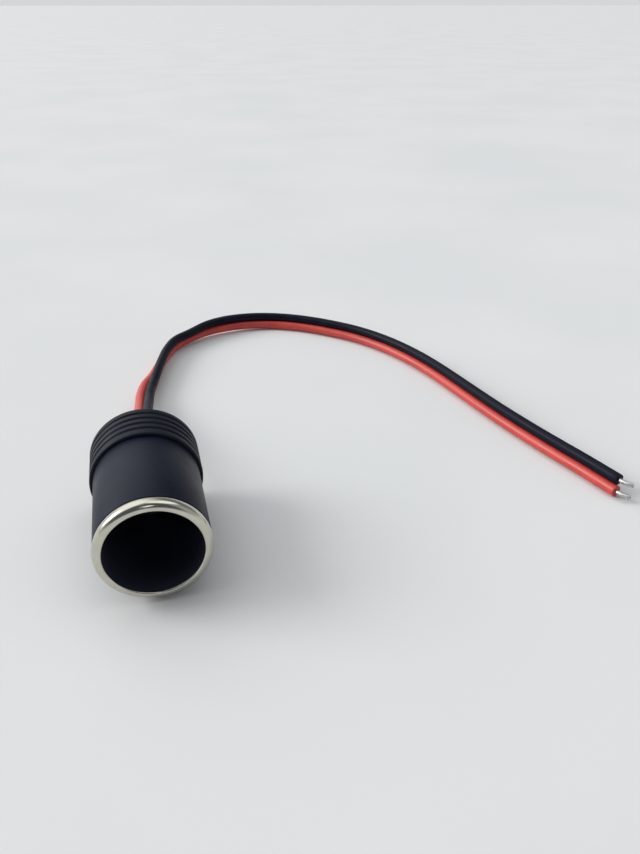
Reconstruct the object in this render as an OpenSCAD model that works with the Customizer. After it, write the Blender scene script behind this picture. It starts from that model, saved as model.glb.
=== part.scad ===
// Female 12 V socket on a short twin cable with two stripped ends.
// Millimetres, +Z up, the table at z = 0. The socket lies along Y with its mouth at -Y,
// and the origin is on the table under the middle of the socket.

/* [Socket shell] */
// Bore that the plug slides into
bore_d = 21.5; // [20:0.1:26]
// Sheet thickness of the drawn steel shell
shell_t = 0.5; // [0.4:0.05:0.8]
// Mouth to the floor of the shell
bore_depth = 28.8; // [24:0.1:40]
// Length of the lip that curls back over the housing
lip_len = 2.9; // [2.4:0.1:4]
// Mouth to the widest place of the lip
lip_mid = 1.5; // [1.2:0.1:2]
// How far the lip stands out past the barrel, on the radius
lip_proud = 0.1; // [0:0.05:0.4]
// Angle that the lip curls back in behind its widest place
lip_curl = 30; // [15:1:40]
// Rounding between the bore and the front of the lip
lip_round = 0.4; // [0.2:0.1:0.8]
// Inner radius of the corner between the shell's wall and floor
floor_round = 0.7; // [0.4:0.1:1]
// Length of the narrower seat in front of the shell's floor
seat_len = 3.6; // [3.2:0.1:5]
// How much narrower the seat is than the bore, on the radius
seat_step = 0.25; // [0.1:0.05:0.3]

/* [Housing] */
// Wall of the moulded barrel
housing_wall = 1.35; // [1:0.05:2.5]
// Wall that carries the contacts, behind the shell's floor
web_t = 1.5; // [1:0.1:3]
// Sliding clearance between parts that push together, on the radius
push_gap = 0.1; // [0.05:0.05:0.2]
// Length of the neck that plugs into the end cap
neck_len = 6.5; // [5:0.5:7.5]
// Height of the snap bead on the neck
bead_h = 0.3; // [0.2:0.05:0.4]
// Length of the snap bead along the neck
bead_len = 1.4; // [1:0.1:2]
// Cap's front edge to the middle of the snap bead
bead_at = 3.4; // [2.5:0.1:4]

/* [End cap] */
// How far the cap stands out past the barrel, on the radius
cap_step = 0.85; // [0.6:0.05:1.5]
// Wall of the cap at its ribs
cap_wall = 1.3; // [1.2:0.05:2]
// Overall length of the cap
cap_len = 13.2; // [12:0.1:18]
// Thickness of the cap's rear wall
rear_wall = 1.8; // [1.2:0.1:3]
// Room for the wiring between the web and the rear wall
wiring_room = 8.6; // [8.5:0.1:14]
// Rounding of the cap's rear edge
rear_round = 1.4; // [0.5:0.1:1.7]
// Rounding of the cap's front edge
front_round = 0.5; // [0.2:0.1:0.8]
// Number of raised ribs round the cap
rib_count = 5; // [3:1:6]
// Cap's front edge to the middle of the first groove
first_groove_at = 2.65; // [2:0.05:3]
// Distance from one groove to the next
rib_pitch = 2.45; // [2:0.05:2.6]
// Depth of the grooves between the ribs
groove_depth = 0.4; // [0.2:0.05:0.5]
// Width of the grooves between the ribs
groove_w = 1.1; // [0.9:0.05:1.8]

/* [Contacts] */
// Radius of the centre contact's domed head
contact_head_r = 3.5; // [2.5:0.1:4.5]
// Height of the centre contact's domed head
contact_head_h = 1.8; // [1:0.1:2.5]
// Radius of the centre contact's shank
contact_shank_r = 1.3; // [1:0.05:1.6]
// Radius of the insulating bush's flange
bush_flange_r = 5; // [4.6:0.1:5.6]
// Thickness of the insulating bush's flange
bush_flange_t = 1.2; // [0.8:0.1:2]
// Radius of the bush's spigot, which passes the shell's floor and the web
bush_spigot_r = 3; // [2.6:0.1:3.4]
// Distance of the ground rivet from the centre line
ground_rivet_at = 7.9; // [7.7:0.1:8.1]
// Angle of the ground rivet round the centre line
ground_rivet_turn = 46; // [42:1:48]
// Radius of the ground rivet's shank
ground_shank_r = 1; // [0.8:0.05:1.2]
// Sheet thickness of the solder tags
tag_t = 0.6; // [0.4:0.1:0.8]
// Centre line to the solder pads of both tags
pad_at = 6.5; // [6.3:0.1:7]
// Radius of the solder pads
pad_r = 1.9; // [1.6:0.1:2.1]

/* [Cable] */
// Diameter of each insulated wire, and the spacing of the bonded pair
wire_d = 3.1; // [2.8:0.05:3.2]
// Diameter of the tinned conductor
core_d = 1.25; // [1:0.05:1.5]
// Bare length of the stripped ends
strip_len = 4; // [3:0.5:8]
// Angle that the stripped ends bend through to the side
core_turn = 30; // [10:1:35]
// How much further the red insulation runs than the black
red_extra = 0.8; // [0.2:0.1:3]
// Running clearance of the cable in the cap's hole
cable_gap = 0.2; // [0.1:0.05:0.4]
// Length of the cable tie's band along the cable
tie_w = 1.9; // [1.5:0.1:2.2]
// Thickness of the cable tie's band
tie_t = 0.9; // [0.7:0.1:1.2]

/* [Hidden] */

$fn = 96;
arc_steps = 10;

bore_r = bore_d / 2;
shell_r = bore_r + shell_t;
housing_bore_r = shell_r + push_gap;
barrel_r = housing_bore_r + housing_wall;
cap_r = barrel_r + cap_step;
cap_bore_r = cap_r - cap_wall;
neck_r = cap_bore_r - push_gap;
neck_bore_r = neck_r - 1.15;

// Distances from the front of the lip, along the socket
shell_back = bore_depth + shell_t;
web_back = shell_back + web_t;
tag_back = web_back + tag_t;
rear_inner = web_back + wiring_room;
total_len = rear_inner + rear_wall;
cap_front = total_len - cap_len;
bead_mid = cap_front + bead_at;

axis_z = cap_r;
mouth_y = -total_len / 2;

wire_r = wire_d / 2;
// Corner radius of the eight-sided tube whose flats lie on the round wire
tube_r = wire_r / cos(22.5);
core_r = core_d / 2;

// The two solder pads lie straight above and below the wires that reach them
red_pad = [-wire_r, -pad_at];
black_pad = [wire_r, pad_at];
ground_rivet_xy = ground_rivet_at * [cos(ground_rivet_turn), sin(ground_rivet_turn)];

// Inside the cap each wire turns through a quarter circle to its solder pad
bend_r = 4;
bend_steps = 3;
tie_front = rear_inner - tie_w - 0.2;
lead_level = tie_front - bend_r;
lead_len = 4.2;

// Middle line of the free cable, from the cap's rear face to the black wire's end: x, distance
// behind the rear face, height over the table, and the roll of the pair. Roll 0 has the
// black wire level with the red one on its right, and 90 has the black wire on top.
route = [
    [0, 9, 13, 6], [0, 18, 11.4, 12], [0.2, 27, 9.2, 18], [0.5, 35.5, 7, 22], [1, 44, 5.2, 22],
    [1.6, 52.5, 4.1, 16], [3.1, 61, 3.4, 18], [5.6, 69.5, 3.2, 47], [8, 78, 3.1, 61],
    [10.7, 86, 3.2, 72], [14.4, 93.8, 3.2, 73], [20.4, 99.7, 3.2, 66], [28, 104.9, 3.6, 84],
    [36.6, 107.7, 3.7, 101], [45.8, 108.7, 3.4, 110], [54.2, 107.5, 3.1, 114], [62, 104, 3.1, 115],
    [69.2, 99.2, 3.1, 115], [75.8, 93.6, 3.1, 115], [81.8, 87.6, 3.1, 115], [87, 80.8, 3.1, 115],
    [91.4, 73.4, 3.1, 115], [95, 65.6, 3.1, 115], [98, 57.4, 3.1, 115], [100.4, 49, 3.1, 115],
    [102.4, 40.4, 3.1, 115], [104.2, 31.8, 3.1, 115], [106, 23.2, 3.1, 115], [107.9, 14.6, 3.1, 115],
    [110, 6.2, 3.1, 115], [112.3, -2.2, 3.1, 115], [114.8, -10.6, 3.1, 115], [117.4, -19, 3.1, 115],
    [120.5, -30, 3.1, 115]
];

function unit(v) = v / norm(v);

// Tubes of the cable

// Points of the middle line in the frame of the part
free_points = concat([[0, total_len / 2, axis_z]],
                     [for (p = route) [p[0], total_len / 2 + p[1], p[2]]]);
free_rolls = concat([0], [for (p = route) p[3]]);
free_last = len(free_points) - 1;

function free_heading(i) =
    unit(free_points[min(i + 1, free_last)] - free_points[max(i - 1, 0)]);
function level_right(t) = unit(cross(t, [0, 0, 1]));
function pair_across(i) =
    let (t = i == 0 ? [0, 1, 0] : free_heading(i), right = level_right(t))
    cos(free_rolls[i]) * right + sin(free_rolls[i]) * cross(right, t);

// A frame is a centre, the way the tube runs, and the way across to the other wire.
// side is -1 on the red wire and 1 on the black one.
function free_frames(side) = [
    for (i = [0 : free_last])
        [free_points[i] + side * wire_r * pair_across(i),
         i == 0 ? [0, 1, 0] : free_heading(i),
         pair_across(i)]
];
function bend_frames(side) = [
    for (k = [bend_steps : -1 : 0])
        let (a = 90 * k / bend_steps)
        [[side * wire_r,
          mouth_y + tie_front - bend_r * sin(a),
          axis_z - side * bend_r * (1 - cos(a))],
         [0, cos(a), side * sin(a)],
         [1, 0, 0]]
];
function longer(frames, extra) =
    let (f = frames[len(frames) - 1])
    concat(frames, [[f[0] + extra * f[1], f[1], f[2]]]);

red_frames = longer(concat(bend_frames(-1), free_frames(-1)), red_extra);
black_frames = concat(bend_frames(1), free_frames(1));

function ring(frame) =
    let (up = cross(frame[1], frame[2]))
    [for (k = [0 : 7])
        frame[0] + tube_r * (cos(22.5 + 45 * k) * frame[2] + sin(22.5 + 45 * k) * up)];

// Two triangles between neighbouring corners of rings i and i + 1. The wires of the pair split
// their faces along opposite diagonals, so that the faces where they meet are the same.
function side_faces(i, k, side) =
    let (a = 8 * i + k, b = 8 * i + (k + 1) % 8, c = b + 8, d = a + 8)
    side < 0 ? [[a, b, c], [a, c, d]] : [[a, b, d], [b, c, d]];

module tube(frames, side) {
    last = len(frames) - 1;
    points = [for (f = frames) each ring(f)];
    sides = [for (i = [0 : last - 1], k = [0 : 7]) each side_faces(i, k, side)];
    ends = [[for (k = [7 : -1 : 0]) k], [for (k = [0 : 7]) 8 * last + k]];
    polyhedron(points, concat(sides, ends), convexity = 10);
}

// Stands a piece that is drawn along +Z on the middle of a frame
module from_frame(frame) {
    d = frame[1];
    translate(frame[0]) rotate([0, acos(d[2]), atan2(d[1], d[0])]) children();
}

// A straight round core with a chamfered tip
module core(length, tip) {
    rotate_extrude($fn = 48)
        polygon([[0, 0], [core_r, 0], [core_r, length - tip], [core_r - tip, length],
                 [0, length]]);
}

// A stripped end, which leaves the insulation straight and bends evenly to the side
module stripped_end(frame) {
    radius = strip_len / (core_turn * PI / 180);
    from_frame(frame) translate([0, radius, 0]) rotate([0, 90, 0]) rotate([0, 0, -90 - core_turn])
        rotate_extrude(angle = core_turn) translate([radius, 0]) circle(r = core_r, $fn = 48);
}

// Turns a revolved piece, drawn with the front of the lip at height 0, along the socket
module on_axis() {
    translate([0, mouth_y, axis_z]) rotate([-90, 0, 0]) children();
}

function arc(centre, a, b, from, to) = [
    for (i = [0 : arc_steps])
        let (t = from + (to - from) * i / arc_steps)
        [centre[0] + a * cos(t), centre[1] + b * sin(t)]
];
function reversed(list) = [for (i = [len(list) - 1 : -1 : 0]) list[i]];

// The lip sweeps out from the front of the mouth to its widest place, and curls back in over
// the housing's nose. The widest point belongs to the second arc only.
lip_front_r = bore_r + lip_round;
lip_r = barrel_r + lip_proud;
lip_centre = [lip_front_r, lip_mid];
function lip_reach(inset) = lip_r - lip_front_r - inset;
function lip_front_arc(inset) = [
    for (p = arc(lip_centre, lip_reach(inset), lip_mid - inset, 270, 360))
        if (p[1] < lip_mid - 0.001) p
];
function lip_rear_arc(inset) =
    arc(lip_centre, lip_reach(inset), (lip_len - lip_mid) / sin(lip_curl) - inset, 0, lip_curl);
nose_r = lip_front_r + lip_reach(shell_t) * cos(lip_curl) - push_gap;

module socket_shell() {
    // Where the underside of the lip meets the outside of the wall
    under_ratio = (shell_r - lip_front_r) / lip_reach(shell_t);
    under_front = lip_mid - (lip_mid - shell_t) * sqrt(1 - under_ratio * under_ratio);
    corner = [bore_r - seat_step - floor_round, bore_depth - floor_round];
    // The drawn step down to the seat, inside and one sheet thickness further out
    step_len = 0.6;
    step_in = bore_depth - seat_len;
    step_out = step_in + shell_t * tan(atan(seat_step / step_len) / 2);
    color([0.72, 0.71, 0.68]) on_axis() difference() {
        rotate_extrude() polygon(concat(
            arc([lip_front_r, lip_round], lip_round, lip_round, 180, 270),
            [for (p = lip_front_arc(0)) if (p[0] > lip_front_r + 0.001) p],
            lip_rear_arc(0),
            reversed(lip_rear_arc(shell_t)),
            [for (p = reversed(lip_front_arc(shell_t))) if (p[0] > shell_r + 0.01) p],
            [[shell_r, under_front], [shell_r, step_out], [shell_r - seat_step, step_out + step_len]],
            arc(corner, floor_round + shell_t, floor_round + shell_t, 0, 90),
            [[0, shell_back], [0, bore_depth]],
            arc(corner, floor_round, floor_round, 90, 0),
            [[bore_r - seat_step, step_in + step_len], [bore_r, step_in]]));
        translate([0, 0, bore_depth - 1]) cylinder(r = bush_spigot_r + push_gap, h = shell_t + 2);
        translate([ground_rivet_xy[0], ground_rivet_xy[1], bore_depth - 1])
            cylinder(r = ground_shank_r, h = shell_t + 2, $fn = 48);
    }
}

module housing() {
    nose_gap = shell_t + push_gap;
    shoulder = lip_len + push_gap;
    color([0.17, 0.175, 0.2]) on_axis() difference() {
        rotate_extrude() polygon(concat(
            [[housing_bore_r, shell_back], [housing_bore_r, nose_gap + 0.2]],
            [for (p = lip_front_arc(nose_gap)) if (p[0] > housing_bore_r && p[0] < nose_r) p],
            [[nose_r, lip_mid], [nose_r, shoulder], [barrel_r - 0.15, shoulder],
             [barrel_r, shoulder + 0.15], [barrel_r, cap_front], [neck_r, cap_front],
             [neck_r, bead_mid - bead_len / 2], [neck_r + bead_h, bead_mid],
             [neck_r, bead_mid + bead_len / 2], [neck_r, cap_front + neck_len - 0.4],
             [neck_r - 0.4, cap_front + neck_len], [neck_bore_r, cap_front + neck_len],
             [neck_bore_r, web_back], [0, web_back], [0, shell_back]]));
        translate([0, 0, shell_back - 1]) cylinder(r = bush_spigot_r + push_gap, h = web_t + 2);
        translate([ground_rivet_xy[0], ground_rivet_xy[1], shell_back - 1])
            cylinder(r = ground_shank_r, h = web_t + 2, $fn = 48);
    }
}

module cable_hole(gap) {
    for (side = [-1, 1]) translate([side * wire_r, 0]) circle(r = tube_r + gap, $fn = 48);
    square([2 * wire_r, 2 * (tube_r + gap)], center = true);
}

module end_cap() {
    color([0.13, 0.135, 0.155]) on_axis() difference() {
        rotate_extrude() difference() {
            polygon(concat(
                [[cap_bore_r, cap_front]],
                arc([cap_r - front_round, cap_front + front_round],
                    front_round, front_round, 270, 360),
                arc([cap_r - rear_round, total_len - rear_round], rear_round, rear_round, 0, 90),
                [[0, total_len], [0, rear_inner], [cap_bore_r - 0.6, rear_inner],
                 [cap_bore_r, rear_inner - 0.6]]));
            for (i = [0 : rib_count - 2])
                translate([cap_r - groove_depth, cap_front + first_groove_at + i * rib_pitch])
                    groove_profile();
            polygon([[cap_bore_r - 1, bead_mid - bead_len / 2 - push_gap],
                     [cap_bore_r, bead_mid - bead_len / 2 - push_gap],
                     [cap_bore_r + bead_h, bead_mid],
                     [cap_bore_r, bead_mid + bead_len / 2 + push_gap],
                     [cap_bore_r - 1, bead_mid + bead_len / 2 + push_gap]]);
        }
        translate([0, 0, rear_inner - 1]) linear_extrude(rear_wall + 2) cable_hole(cable_gap);
    }
}

// A shallow round-bottomed groove, with its deepest point at the origin
module groove_profile() {
    groove_r = (pow(groove_w / 2, 2) + pow(groove_depth, 2)) / (2 * groove_depth);
    translate([groove_r, 0]) circle(r = groove_r, $fn = 48);
}

// Domed head, shank and clinched tail of the rivet that is the live contact
module centre_contact() {
    head_back = bore_depth - bush_flange_t;
    dome_r = (pow(contact_head_r, 2) + pow(contact_head_h, 2)) / (2 * contact_head_h);
    half_angle = asin(contact_head_r / dome_r);
    color([0.78, 0.66, 0.38]) on_axis() rotate_extrude() polygon(concat(
        arc([0, head_back - contact_head_h + dome_r], dome_r, dome_r, 270, 270 + half_angle),
        [[contact_shank_r, head_back], [contact_shank_r, tag_back], [2.1, tag_back],
         [1.8, tag_back + 0.7], [0, tag_back + 0.7]]));
}

module contact_bush() {
    color([0.36, 0.2, 0.12]) on_axis() rotate_extrude() polygon([
        [contact_shank_r, bore_depth - bush_flange_t],
        [bush_flange_r - 0.3, bore_depth - bush_flange_t],
        [bush_flange_r, bore_depth - bush_flange_t + 0.3],
        [bush_flange_r, bore_depth], [bush_spigot_r, bore_depth],
        [bush_spigot_r, web_back], [contact_shank_r, web_back]]);
}

// Flat tag with an eye round a rivet and a solder pad at the other end
module solder_tag(eye, eye_r, hole_r, pad) {
    way = pad - eye;
    on_axis() translate([0, 0, web_back]) linear_extrude(tag_t) difference() {
        union() {
            translate(eye) circle(r = eye_r);
            translate(pad) circle(r = pad_r);
            translate(eye) rotate(atan2(way[1], way[0]))
                translate([0, -1.5]) square([norm(way), 3]);
        }
        translate(eye) circle(r = hole_r);
    }
}

// Dome of solder that holds a bare lead on its pad
module solder_joint(pad) {
    dome_r = 2.1;
    on_axis() difference() {
        intersection() {
            translate([pad[0], pad[1], tag_back + 0.9]) sphere(r = dome_r);
            translate([pad[0] - 5, pad[1] - 5, tag_back]) cube([10, 10, 10]);
        }
        translate([pad[0], pad[1], lead_level]) rotate([90, 0, 0])
            cylinder(r = core_r, h = 20, center = true, $fn = 48);
    }
}

module positive_tag() {
    color([0.8, 0.72, 0.45]) solder_tag([0, 0], 3, contact_shank_r, red_pad);
}

module negative_tag() {
    color([0.8, 0.72, 0.45]) solder_tag(ground_rivet_xy, 2.3, ground_shank_r, black_pad);
}

module positive_solder() {
    color([0.75, 0.76, 0.78]) solder_joint(red_pad);
}

module negative_solder() {
    color([0.75, 0.76, 0.78]) solder_joint(black_pad);
}

module ground_rivet() {
    color([0.7, 0.7, 0.7]) on_axis()
        translate([ground_rivet_xy[0], ground_rivet_xy[1], 0])
            rotate_extrude($fn = 48) polygon([
                [0, bore_depth - 0.6], [1.5, bore_depth - 0.6], [1.8, bore_depth - 0.3],
                [1.8, bore_depth], [ground_shank_r, bore_depth], [ground_shank_r, tag_back],
                [1.7, tag_back], [1.4, tag_back + 0.6], [0, tag_back + 0.6]]);
}

module red_wire() {
    color([0.8, 0.2, 0.17]) tube(red_frames, -1);
}

module black_wire() {
    color([0.1, 0.1, 0.12]) tube(black_frames, 1);
}

// The inner lead runs on from the start of the insulation, back through the solder
module inner_lead(frames) {
    f = frames[0];
    from_frame([f[0], -f[1], f[2]]) core(lead_len, 0.2);
}

module red_lead() {
    color([0.8, 0.45, 0.3]) inner_lead(red_frames);
}

module black_lead() {
    color([0.8, 0.45, 0.3]) inner_lead(black_frames);
}

module red_wire_end() {
    color([0.85, 0.85, 0.86]) stripped_end(red_frames[len(red_frames) - 1]);
}

module black_wire_end() {
    color([0.85, 0.85, 0.86]) stripped_end(black_frames[len(black_frames) - 1]);
}

// Nylon tie round both wires, close behind the hole, so that a pull can't reach the solder
module cable_tie() {
    head = [3.4, 2.4, 2.4];
    color([0.88, 0.87, 0.82]) on_axis() translate([0, 0, tie_front]) difference() {
        union() {
            linear_extrude(tie_w) cable_hole(tie_t);
            translate([-head[0] / 2, -tube_r - tie_t - head[1], -0.3])
                cube([head[0], head[1] + tie_t, head[2]]);
        }
        translate([0, 0, -1]) linear_extrude(tie_w + 2) cable_hole(0);
    }
}

housing();
end_cap();
socket_shell();
centre_contact();
contact_bush();
positive_tag();
positive_solder();
ground_rivet();
negative_tag();
negative_solder();
red_wire();
black_wire();
red_lead();
black_lead();
red_wire_end();
black_wire_end();
cable_tie();
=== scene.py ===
# %% [markdown]
# A socket on a short twin cable
# The object is the female half of a 12 V extension: a drawn steel socket with a curled, plated
# lip sits in a smooth black barrel, a ribbed cap closes the back, and a bonded red and black
# cable comes out of the cap and ends in two stripped, tinned cores.
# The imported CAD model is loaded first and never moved. Each piece below either gives a CAD node
# a better material or replaces it with a finer mesh of the same size in the same place.

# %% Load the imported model
import math

import bmesh
import bpy
import numpy as np
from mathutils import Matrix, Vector


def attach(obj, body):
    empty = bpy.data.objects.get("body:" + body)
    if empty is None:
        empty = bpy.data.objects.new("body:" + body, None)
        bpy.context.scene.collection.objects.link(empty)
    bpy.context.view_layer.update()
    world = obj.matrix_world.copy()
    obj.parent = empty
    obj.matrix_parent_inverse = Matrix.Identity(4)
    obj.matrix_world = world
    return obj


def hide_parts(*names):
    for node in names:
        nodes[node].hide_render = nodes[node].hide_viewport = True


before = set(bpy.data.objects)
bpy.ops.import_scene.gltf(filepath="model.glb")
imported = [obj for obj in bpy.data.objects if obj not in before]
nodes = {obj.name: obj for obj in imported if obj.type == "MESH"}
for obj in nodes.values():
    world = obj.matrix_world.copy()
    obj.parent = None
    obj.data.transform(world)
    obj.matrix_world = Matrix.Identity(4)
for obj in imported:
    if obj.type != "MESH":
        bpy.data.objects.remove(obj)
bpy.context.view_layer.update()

scene = bpy.context.scene
scene.view_settings.view_transform = "Standard"

# %% [markdown]
# The camera
# The photograph was taken by hand from above the open mouth. Its place and lens can be worked
# out from the ellipses of the rim and cap and from the foreshortening of the barrel. A camera
# aimed by a direction vector keeps those numbers readable, where Euler angles would hide them.

# %% Place the camera
MM = 0.001
CAMERA_AT = Vector((3.8, -146.4, 114.3)) * MM
CAMERA_LOOKS = Vector((0.2154, 0.8388, -0.5))
SENSOR_MM = 36
LENS_MM = 30.98
NEAREST_SEEN = 5 * MM

camera = bpy.data.objects.new("camera", bpy.data.cameras.new("camera"))
camera.data.sensor_width = SENSOR_MM
camera.data.lens = LENS_MM
camera.data.clip_start = NEAREST_SEEN
camera.location = CAMERA_AT
camera.rotation_euler = CAMERA_LOOKS.to_track_quat("-Z", "Y").to_euler()
scene.collection.objects.link(camera)
scene.camera = camera
print("camera lens", camera.data.lens, "at", [round(v, 4) for v in CAMERA_AT])

# %% [markdown]
# Sizes that several pieces share
# Distances along the socket are counted from the front of the lip, in millimetres, as a
# toolmaker would draw them. One function turns a point of such a drawing, a radius and a
# distance, into the frame of the part.

# %% Shared sizes
TOTAL_LEN = 41.2
MOUTH_Y = -TOTAL_LEN / 2
AXIS_Z = 13.55
BORE_R = 10.75
BARREL_R = 12.7
CAP_R = 13.55
CAP_FRONT = 28.0
WIRE_R = 1.55
CORE_R = 0.625
AROUND = 192


def on_axis(across, up, along):
    """A point of the part's frame, in metres, from millimetres off the socket's centre line."""
    return (across * MM, (MOUTH_Y + along) * MM, (AXIS_Z + up) * MM)


# %% [markdown]
# Building meshes from rings
# Nearly everything here is a skin over a row of closed rings: turned parts, the cable and its
# cores. A curve with a bevel would make the tubes too, but rings leave the outline of each
# section free, so the same helper serves the moulded web between the wires and the oval hole.

# %% A mesh from a row of rings
def finish_mesh(obj, sharp_deg=38):
    """Faces out, smooth shading, and sharp edges only where the surface really turns."""
    bm = bmesh.new()
    bm.from_mesh(obj.data)
    bmesh.ops.recalc_face_normals(bm, faces=bm.faces)
    bm.to_mesh(obj.data)
    bm.free()
    obj.data.polygons.foreach_set("use_smooth", [True] * len(obj.data.polygons))
    obj.data.set_sharp_from_angle(angle=math.radians(sharp_deg))
    return obj


def skin(name, rings, closed=False, caps=False, sharp_deg=38):
    """Joins rings of equally many points. closed joins the last ring to the first."""
    count = len(rings[0])
    points = [p for ring in rings for p in ring]
    pairs = [(i, i + 1) for i in range(len(rings) - 1)]
    if closed:
        pairs.append((len(rings) - 1, 0))
    faces = []
    for i, j in pairs:
        for k in range(count):
            n = (k + 1) % count
            faces.append((i * count + k, i * count + n, j * count + n, j * count + k))
    if caps:
        faces.append(tuple(range(count)))
        faces.append(tuple(range(len(points) - count, len(points))))
    mesh = bpy.data.meshes.new(name)
    mesh.from_pydata(points, [], faces)
    obj = bpy.data.objects.new(name, mesh)
    scene.collection.objects.link(obj)
    finish_mesh(obj, sharp_deg)
    print(name, len(mesh.vertices), "points,", len(mesh.polygons), "faces")
    return obj


# %% [markdown]
# The run of the cable
# Two wires are bonded side by side. The pair leaves the cap level, droops to the table, rolls
# over until the black wire lies above the red one, and swings round in a wide bow to its end.
# The route is a few dozen chosen points of the pair's middle line with the roll of the pair at
# each. A Catmull-Rom curve passes through every point, so the cable lies where the CAD has it.

# %% Route of the pair's middle line
# x, distance behind the cap's rear face, height over the table, and roll in degrees
ROUTE = [
    (0, 9, 13, 6), (0, 18, 11.4, 12), (0.2, 27, 9.2, 18), (0.5, 35.5, 7, 22), (1, 44, 5.2, 22),
    (1.6, 52.5, 4.1, 16), (3.1, 61, 3.4, 18), (5.6, 69.5, 3.2, 47), (8, 78, 3.1, 61),
    (10.7, 86, 3.2, 72), (14.4, 93.8, 3.2, 73), (20.4, 99.7, 3.2, 66), (28, 104.9, 3.6, 84),
    (36.6, 107.7, 3.7, 101), (45.8, 108.7, 3.4, 110), (54.2, 107.5, 3.1, 114),
    (62, 104, 3.1, 115), (69.2, 99.2, 3.1, 115), (75.8, 93.6, 3.1, 115), (81.8, 87.6, 3.1, 115),
    (87, 80.8, 3.1, 115), (91.4, 73.4, 3.1, 115), (95, 65.6, 3.1, 115), (98, 57.4, 3.1, 115),
    (100.4, 49, 3.1, 115), (102.4, 40.4, 3.1, 115), (104.2, 31.8, 3.1, 115), (106, 23.2, 3.1, 115),
    (107.9, 14.6, 3.1, 115), (110, 6.2, 3.1, 115), (112.3, -2.2, 3.1, 115),
    (114.8, -10.6, 3.1, 115), (117.4, -19, 3.1, 115), (120.5, -30, 3.1, 115),
]
REAR_Y = TOTAL_LEN / 2
BEND_END_Y = MOUTH_Y + 37.3

stations = [(0, BEND_END_Y, AXIS_Z, 0), (0, REAR_Y, AXIS_Z, 0)]
stations += [(x, REAR_Y + back, z, roll) for x, back, z, roll in ROUTE]
stations = np.array(stations, float)
print(len(stations), "stations")

# %% Smooth curve through the stations
STEPS_A_SPAN = 5


def catmull_rom(points, steps):
    """Points on the curve through all of the given ones, which carry any number of values."""
    ahead = 2 * points[0] - points[1]
    behind = 2 * points[-1] - points[-2]
    p = np.vstack([ahead, points, behind])
    out = []
    for i in range(1, len(p) - 2):
        a, b, c, d = p[i - 1], p[i], p[i + 1], p[i + 2]
        for t in np.arange(steps) / steps:
            out.append(0.5 * (2 * b + (c - a) * t + (2 * a - 5 * b + 4 * c - d) * t ** 2
                              + (3 * b - a - 3 * c + d) * t ** 3))
    return np.array(out + [points[-1]])


middle = catmull_rom(stations, STEPS_A_SPAN)
lengths = np.linalg.norm(np.diff(middle[:, :3], axis=0), axis=1)
free_from = STEPS_A_SPAN
print("cable outside the cap:", round(float(lengths[free_from:].sum()), 1), "mm")

# %% [markdown]
# From the middle line to each wire
# Each wire runs half a pitch to one side of the middle line, in the direction that the roll
# gives. Inside the cap the wires part, one up and one down, on quarter circles to their solder
# pads. A frame below is a centre, a heading and the direction towards the other wire.

# %% Frames along each wire
BEND_R = 4.0
BEND_STEPS = 8
RED_EXTRA = 0.8
RED, BLACK = -1, 1


def unit(v):
    return v / np.linalg.norm(v)


def pair_frames(side):
    """Frames along the wire on one side of the pair, from its solder pad to its cut end."""
    frames = []
    for k in range(BEND_STEPS, 0, -1):
        a = math.radians(90 * k / BEND_STEPS)
        centre = np.array([side * WIRE_R, BEND_END_Y - BEND_R * math.sin(a),
                           AXIS_Z - side * BEND_R * (1 - math.cos(a))])
        heading = np.array([0, math.cos(a), side * math.sin(a)])
        frames.append((centre, heading, np.array([-side, 0.0, 0.0])))
    last = len(middle) - 1
    for i, station in enumerate(middle):
        heading = unit(middle[min(i + 1, last)][:3] - middle[max(i - 1, 0)][:3])
        right = unit(np.cross(heading, [0, 0, 1]))
        roll = math.radians(station[3])
        across = math.cos(roll) * right + math.sin(roll) * np.cross(right, heading)
        frames.append((station[:3] + side * WIRE_R * across, heading, -side * across))
    if side == RED:
        centre, heading, across = frames[-1]
        frames.append((centre + RED_EXTRA * heading, heading, across))
    return frames


red_frames = pair_frames(RED)
black_frames = pair_frames(BLACK)


def path_length(frames):
    """The length of the wire's centre line in millimetres."""
    centres = np.array([c for c, _, _ in frames])
    return float(np.linalg.norm(np.diff(centres, axis=0), axis=1).sum())


print("red wire", round(path_length(red_frames), 1), "mm, black wire",
      round(path_length(black_frames), 1), "mm")

# %% [markdown]
# The outline of one wire
# Twin cable is extruded in one go, so a thin web joins the two round wires and leaves a crease
# along the pair. Each wire's section is therefore a circle that swells into half of that web on
# the side of its neighbour. The outline could be a bevel curve, but a plain list of points also
# gives the rings of the cut end.

# %% Outline of one wire
WEB_HALF = 0.28
WEB_FROM_DEG = 20
# where the round wire runs into the web
WEB_FOOT = [(1.505, -0.4), (1.535, -0.32)]
WIRE_POINTS = 36


def wire_section():
    """Points round one wire, as distance towards its neighbour and height, in millimetres."""
    start = math.radians(WEB_FROM_DEG)
    turn = 2 * math.pi - 2 * start
    round_part = [(WIRE_R * math.cos(start + turn * k / WIRE_POINTS),
                   WIRE_R * math.sin(start + turn * k / WIRE_POINTS))
                  for k in range(WIRE_POINTS + 1)]
    web_low = WEB_FOOT + [(WIRE_R, -WEB_HALF)]
    web_high = [(x, -y) for x, y in reversed(web_low)]
    return round_part + web_low + [(WIRE_R, 0.0)] + web_high


SECTION = wire_section()
print("outline of a wire:", len(SECTION), "points")

# %% [markdown]
# The insulation of each wire
# A wire is its outline carried along its frames. The stripped end was cut square with a knife, so
# it is a flat face with a slightly soft edge and a hole for the core. Extra rings at the end draw
# that edge and the mouth of the hole, which keeps the whole wire one clean skin.

# %% Wires of the twin cable
HOLE_R_IN_WIRE = CORE_R + 0.03
HOLE_DEPTH = 0.5
HOLE_FLARE = 0.05
FLARE_DEPTH = 0.06
PAD_END_SCALE = 0.93
PAD_END_LEN = 0.1
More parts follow.
